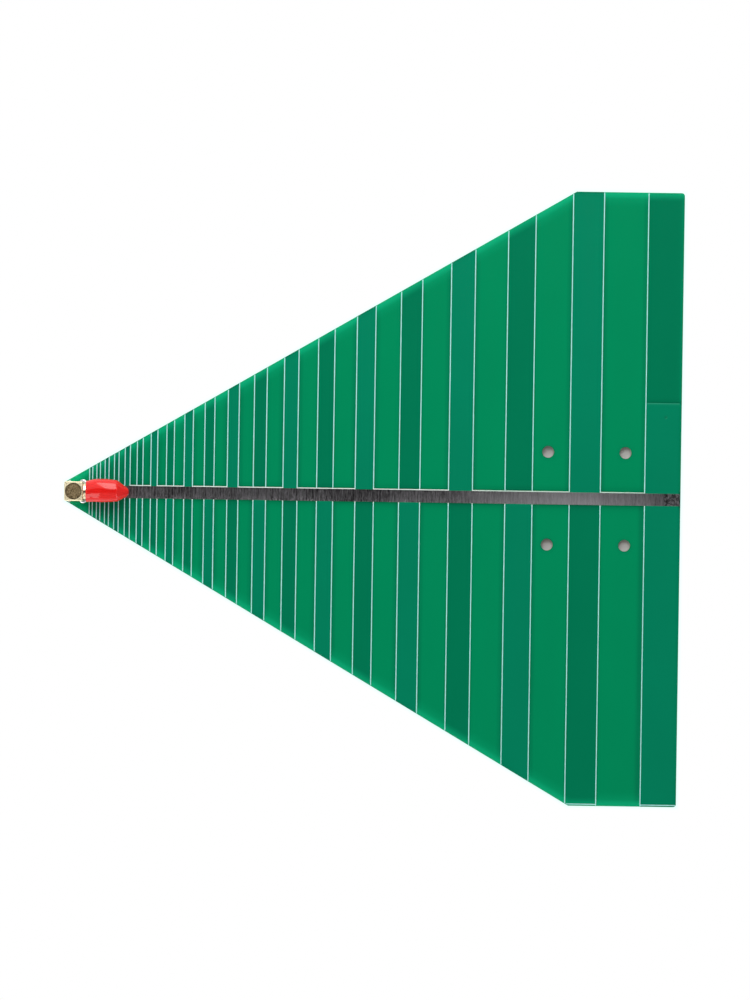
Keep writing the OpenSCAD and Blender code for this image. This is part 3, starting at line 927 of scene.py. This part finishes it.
def solder_cone(solder, centre, lead_radius, phase):
    """A solder joint hanging under its pad: a quarter of an ellipse turned about the lead, hollow
    side out, with slight lobes."""
    inner = lead_radius + solder.film
    a = np.radians(np.linspace(0, 90, 15))
    r = inner + solder.skirt - (solder.skirt - solder.lip) * np.sin(a)
    z = REAR_FOIL_Z - solder.height * (1 - np.cos(a))
    end = [(inner + solder.lip * 0.5, REAR_FOIL_Z - solder.height * 1.02),
           (lead_radius, REAR_FOIL_Z - solder.height), (lead_radius, REAR_FOIL_Z)]
    profile = np.concatenate([np.stack([r, z], axis=1), end])
    return turned_about_z(profile, centre, 40, JOINT_LOBES, phase), True


def smoothed(line, count=600, window=33, carry=40, first=12, every=8):
    """A line from a rim to a pole, walked evenly and smoothed by a weighted running mean.

    It is carried on past its ends, turned about the rim and mirrored at the pole, and thinned out
    in the end. The first few points are left to the rim's own round."""
    walk = np.concatenate([[0], np.cumsum(np.linalg.norm(np.diff(line, axis=0), axis=1))])
    even = np.linspace(0, walk[-1], count)
    line = np.stack([np.interp(even, walk, line[:, k]) for k in (0, 1)], axis=1)
    before = 2 * line[:1] - line[carry:0:-1]
    after = line[-2:-carry - 2:-1] * np.array([1, -1])
    carried = np.concatenate([before, line, after])
    share = np.hanning(window) / np.hanning(window).sum()
    line = np.stack([np.convolve(carried[:, k], share, "same")[carry:-carry] for k in (0, 1)],
                    axis=1)
    line[-1, 1] = 0.0
    return line[np.unique(np.concatenate([np.arange(first, count, every), [count - 1]]))]


def cap_skin(cap):
    """The cap turned about the barrel's axis: two parabolas that meet at the belly, a cone, a
    round nose, and the bore inside.

    The outer line is smoothed, as dipped vinyl has no creases. The outside leans to one side by a
    smooth step up from the mouth and a smooth step down along the nose."""
    x = np.linspace(0, cap.shoulder_place, 200)
    before = 1 - x / cap.belly_place
    after = (x - cap.belly_place) / (cap.shoulder_place - cap.belly_place)
    swell = np.where(
        x < cap.belly_place,
        cap.belly_radius - (cap.belly_radius - cap.mouth_radius) * before ** 2,
        cap.belly_radius - (cap.belly_radius - cap.shoulder_radius) * after ** 2)
    long = CAP_HI[0] - CAP_LO[0]
    centre = long - cap.nose_radius
    back = cap.shoulder_place - centre
    tangent = math.acos(cap.nose_radius / math.hypot(cap.shoulder_radius, back))
    meet = math.atan2(cap.shoulder_radius, back) - tangent
    nose = arc((centre, 0.0), cap.nose_radius, math.degrees(meet), 0.0, 60)
    line = smoothed(np.concatenate([np.stack([x, swell], axis=1), nose]))
    wall = cap.mouth_radius - cap.bore_radius
    lip = arc((wall / 2, cap.bore_radius + wall / 2), wall / 2, 270, 90, 9)
    pocket = long - cap.nose_wall
    inside = np.array([[pocket, 0.0], [pocket, cap.nose_radius - cap.nose_wall],
                       [cap.bore_depth, cap.bore_radius]])
    profile = np.concatenate([inside, lip, line])
    grid = turned_about_x(CAP_LO[0] + profile[:, 0], profile[:, 1:], 96)
    outside = len(inside) + len(lip)
    rise = smooth_step(profile[outside:, :1] / LEAN_RISE)
    fall = smooth_step((profile[outside:, :1] - LEAN_FALL) / (long - LEAN_FALL))
    grid[outside:, :, 1] += cap.lean * (rise - LEAN_BACK * fall)
    return grid, False


# Stage

# Lamps: name, property of the power, place, aim and size, in metres
SOFTBOXES = (
    ("key_softbox", "key_power", (-0.09, 0.45, 0.42), (0.03, 0.0, 0.0), (0.25, 0.75)),
    ("low_fill", "low_power", (-0.25, -0.6, 0.05), (-0.25, 0.0, 0.0), (1.2, 0.08)),
    ("tip_softbox", "tip_power", (-0.85, 0.0, 0.5), (0.0, 0.0, 0.0), (0.9, 0.6)))
GLEAMS = (
    ("far_gleam", "far_gleam", (-0.135, 0.1125, 0.11), (-0.105, 0.0, 0.005), (0.0625, 0.1875)),
    ("near_gleam", "near_gleam", (-0.245, -0.15, 0.118), (-0.245, 0.0, 0.055), (0.14, 0.1875)),
    ("nose_gleam", "nose_gleam", (-0.065, -0.195, 0.11), (-0.1125, 0.0, 0.005), (0.06, 0.14)))

# Pieces that the gleam lamps light
TIP_PIECES = ("dust_cap_skin", "jack_shell", "jack_lid_disc", "front_pad_tin")

# The floor: half its width and the rear posts' place in metres, and in millimetres the bands
# about the board's outline over which it turns plain and over which a painted green light from
# the laminate's edge is added
FLOOR_HALF = 4.0
REAR_POST_X = JACK_X + 0.00254
PLAIN_BAND = (-3.0, 1.6)
EDGE_LIGHT_BAND = (-0.3, 0.0)
PAINTED_EDGE_LIGHT = (0.0, 0.85, 0.75)
BLACK, WHITE = (0.0, 0.0, 0.0), (1.0, 1.0, 1.0)

# Greys of the room
NEAR_WALL = (0.43, 0.43, 0.43)
FAR_WALL = (0.9, 0.9, 0.9)
REAR_WALL = (0.29, 0.29, 0.29)
CAMERA_HOLE = (0.05, 0.05, 0.05)


def lay_floor(stage):
    """A wide plane through the feet of the rear posts and the underside of the rear edge.

    The camera sees it plain white, but close to the board it keeps the shadow, with a little
    painted green light, an emission for the camera, as if from the laminate's edge."""
    low, high = SHELL_LO[2], REAR_TIN_LO[2]
    reach = np.array([-FLOOR_HALF, FLOOR_HALF])
    x, y = np.meshgrid(reach, reach, indexing="ij")
    z = low + (x - REAR_POST_X) * (high - low) / (REAR_TIN_HI[0] - REAR_POST_X)
    points = np.stack([x, y, z], axis=2).reshape(-1, 3)
    mesh = bpy.data.meshes.new("floor")
    mesh.from_pydata(points.tolist(), [], [(0, 2, 3, 1)])
    floor = add_object("floor", mesh)
    f = Finish("pale_floor")
    point, x, y, _ = f.places()
    ray = f.node("ShaderNodeLightPath", out="Is Camera Ray")
    seen = (ray + ray.other("Is Glossy Ray") + ray.other("Is Transmission Ray")).least(1.0)
    outside = -edge_distance(x, y)
    # Painted light: a green emission, seen by the camera alone, just outside the board's outline.
    tint = f.blend(ray * outside.ease(*EDGE_LIGHT_BAND), BLACK, PAINTED_EDGE_LIGHT)
    matt = f.node("ShaderNodeBsdfPrincipled", {}, {
        "Base Color": f.dim(stage.floor_white, 0.99 + f.noise(point, 0.02) * 0.02),
        "Roughness": 0.9, "Specular IOR Level": 0.1,
        "Emission Color": tint, "Emission Strength": 1.0})
    plain = f.node("ShaderNodeEmission", {}, {"Color": WHITE, "Strength": 1.0})
    mixed = f.node("ShaderNodeMixShader", {}, {
        0: seen * outside.ease(*PLAIN_BAND), 1: matt, 2: plain})
    f.node("ShaderNodeOutputMaterial", {}, {"Surface": mixed})
    mesh.materials.append(f.holder)


def hang_lamp(stage, name, power_name, place, aim, size):
    """A rectangular lamp that faces a point and that the camera doesn't see."""
    lamp = bpy.data.lights.new(name, "AREA")
    lamp.shape, lamp.size, lamp.size_y = "RECTANGLE", *size
    lamp.energy = getattr(stage, power_name)
    thing = add_object(name, lamp)
    thing.location = place
    back = np.array(aim) - np.array(place)
    thing.rotation_euler = (math.acos(-back[2] / np.linalg.norm(back)), 0.0,
                            math.atan2(back[1], back[0]) - math.pi / 2)
    thing.visible_camera = False
    return thing


def light_room():
    """A pale tent, brighter at +Y and dim at +X, with a dark hole overhead for the camera, which
    sees a white background."""
    world = bpy.data.worlds.new("room")
    bpy.context.scene.world = world
    f = Finish("room", world)
    way = f.node("ShaderNodeTexCoord", out="Generated")
    side = f.node("ShaderNodeSeparateXYZ", {}, {0: way}, "Y")
    shade = f.blend(side.ease(-0.5, 0.5), NEAR_WALL, FAR_WALL)
    shade = f.blend(side.other("X").ease(0.2, 0.62), shade, REAR_WALL)
    shade = f.blend(side.other("Z").ease(0.87, 0.95), shade, CAMERA_HOLE)
    shade = f.blend(f.node("ShaderNodeLightPath", out="Is Camera Ray"), shade, WHITE)
    shell = f.node("ShaderNodeBackground", {}, {"Color": shade, "Strength": 1.0})
    f.node("ShaderNodeOutputWorld", {}, {"Surface": shell})


def place_camera(stage):
    """A camera straight above the board, turned a little about its view."""
    lens = bpy.data.cameras.new("camera")
    lens.sensor_width, lens.lens = 36.0, stage.lens
    camera = add_object("camera", lens)
    camera.location = (*stage.aim, FOIL_TOP + stage.height)
    camera.rotation_euler = (0.0, 0.0, stage.turn)
    bpy.context.scene.camera = camera


# Operators


class DressBoard(bpy.types.Operator):
    """Paints the laminate, the copper under its mask, the printed lines and the rear pads"""

    bl_idname = "antenna.dress_board"
    bl_label = "Dress board"

    def execute(self, context):
        look, solder = context.scene.antenna_board, context.scene.antenna_solder
        repaint(laminate_finish(look), "board")
        repaint(masked_copper_finish(look), "front_foil", "rear_foil")
        repaint(ink_finish(look), "printed_lines")
        repaint(solder_finish(solder), "rear_ground_pads")
        return {"FINISHED"}


class LayTin(bpy.types.Operator):
    """Lays the tin strips on both booms and sets solder drops round the front posts"""

    bl_idname = "antenna.lay_tin"
    bl_label = "Lay tin"

    def execute(self, context):
        tin, jack = context.scene.antenna_tin, context.scene.antenna_jack
        metal = tin_finish(tin)
        half = REAR_TIN_HI[1]
        front = tin_strip(tin, JACK_X + STRIP_START, FRONT_TIN_HI[0], half,
                          FOIL_TOP, SEAT_Z - FOIL_TOP)
        settle(make_piece("front_boom_tin", [front]), metal, "antenna", "tin", "front_tin")
        pads = make_piece("front_pad_tin", [pad_mound(tin, jack, corner) for corner in CORNERS])
        settle(pads, solder_finish(context.scene.antenna_solder), "antenna", "solder", "front_tin")
        rear = tin_strip(tin, REAR_TIN_LO[0], REAR_TIN_HI[0], half,
                         REAR_FOIL_Z, REAR_TIN_LO[2] - REAR_FOIL_Z)
        settle(make_piece("rear_boom_tin", [rear]), metal, "antenna", "tin", "rear_tin")
        return {"FINISHED"}


class TurnJack(bpy.types.Operator):
    """Makes the jack's shell with its thread and posts, sets the lid and paints the contacts"""

    bl_idname = "antenna.turn_jack"
    bl_label = "Turn jack"

    def execute(self, context):
        jack = context.scene.antenna_jack
        gold = gold_finish(jack)
        posts = [post(jack, corner) for corner in CORNERS]
        shell = make_piece("jack_shell", [block_shell(jack), barrel_shell(jack), *posts])
        settle(shell, gold, "antenna", "gold", "jack_body")
        lid = make_piece("jack_lid_disc", [lid_disc(jack)])
        settle(lid, lid_finish(jack), "antenna", "lid_brass", "jack_lid")
        repaint(gold, "centre_contact", "centre_pin")
        repaint(insulator_finish(), "barrel_insulator", "pin_insulator")
        return {"FINISHED"}


class SolderJoints(bpy.types.Operator):
    """Makes the five solder joints on the underside"""

    bl_idname = "antenna.solder_joints"
    bl_label = "Solder joints"

    def execute(self, context):
        solder, jack = context.scene.antenna_solder, context.scene.antenna_jack
        metal = solder_finish(solder)
        ground = [solder_cone(solder, post_place(jack, corner), jack.post_radius,
                              corner[0] + 2.0 * corner[1]) for corner in CORNERS]
        settle(make_piece("ground_joints", ground), metal, "antenna", "solder", "ground_solder")
        feed = solder_cone(solder, (JACK_X, 0.0), solder.pin_radius, 0.7)
        settle(make_piece("feed_joint", [feed]), metal, "antenna", "solder", "feed_solder")
        return {"FINISHED"}


class DipCap(bpy.types.Operator):
    """Makes the red dust cap"""

    bl_idname = "antenna.dip_cap"
    bl_label = "Dip cap"

    def execute(self, context):
        cap = context.scene.antenna_cap
        skin = make_piece("dust_cap_skin", [cap_skin(cap)], sharp_angle=60.0)
        settle(skin, vinyl_finish(cap), "cap", "red_vinyl", "dust_cap")
        return {"FINISHED"}


class SetStage(bpy.types.Operator):
    """Sets the floor, the softboxes, the gleam lamps, the room and the camera"""

    bl_idname = "antenna.set_stage"
    bl_label = "Set stage"

    def execute(self, context):
        stage = context.scene.antenna_stage
        lay_floor(stage)
        for lamp in SOFTBOXES:
            hang_lamp(stage, *lamp).visible_glossy = False
        tip = bpy.data.collections.new("tip")
        for name in TIP_PIECES:
            tip.objects.link(bpy.data.objects[name])
        for lamp in GLEAMS:
            thing = hang_lamp(stage, *lamp)
            thing.visible_diffuse = False
            thing.light_linking.receiver_collection = tip
        light_room()
        place_camera(stage)
        context.scene.view_settings.view_transform = "Standard"
        return {"FINISHED"}


class AntennaPanel(bpy.types.Panel):
    """Lists the sizes, the colours and the steps of the antenna"""

    bl_idname = "VIEW3D_PT_antenna"
    bl_label = "Antenna"
    bl_space_type = "VIEW_3D"
    bl_region_type = "UI"
    bl_category = "Antenna"

    def draw(self, context):
        for step in STEPS:
            self.layout.operator(step.bl_idname)
        for name, group in GROUPS.items():
            box = self.layout.box()
            box.label(text=group.__doc__)
            for key in group.__annotations__:
                box.prop(getattr(context.scene, name), key)


GROUPS = {
    "antenna_board": BoardLook, "antenna_tin": TinLook, "antenna_jack": JackShape,
    "antenna_solder": SolderShape, "antenna_cap": CapShape, "antenna_stage": StageSetup,
}
STEPS = (DressBoard, LayTin, TurnJack, SolderJoints, DipCap, SetStage)
CLASSES = (*GROUPS.values(), *STEPS, AntennaPanel)


def register():
    for made in CLASSES:
        bpy.utils.register_class(made)
    for name, group in GROUPS.items():
        setattr(bpy.types.Scene, name, bpy.props.PointerProperty(type=group))


def unregister():
    for name in GROUPS:
        delattr(bpy.types.Scene, name)
    for made in reversed(CLASSES):
        bpy.utils.unregister_class(made)


def main():
    register()
    bpy.ops.antenna.dress_board()
    bpy.ops.antenna.lay_tin()
    bpy.ops.antenna.turn_jack()
    bpy.ops.antenna.solder_joints()
    bpy.ops.antenna.dip_cap()
    bpy.ops.antenna.set_stage()
    bpy.context.view_layer.update()


if __name__ == "__main__":
    main()
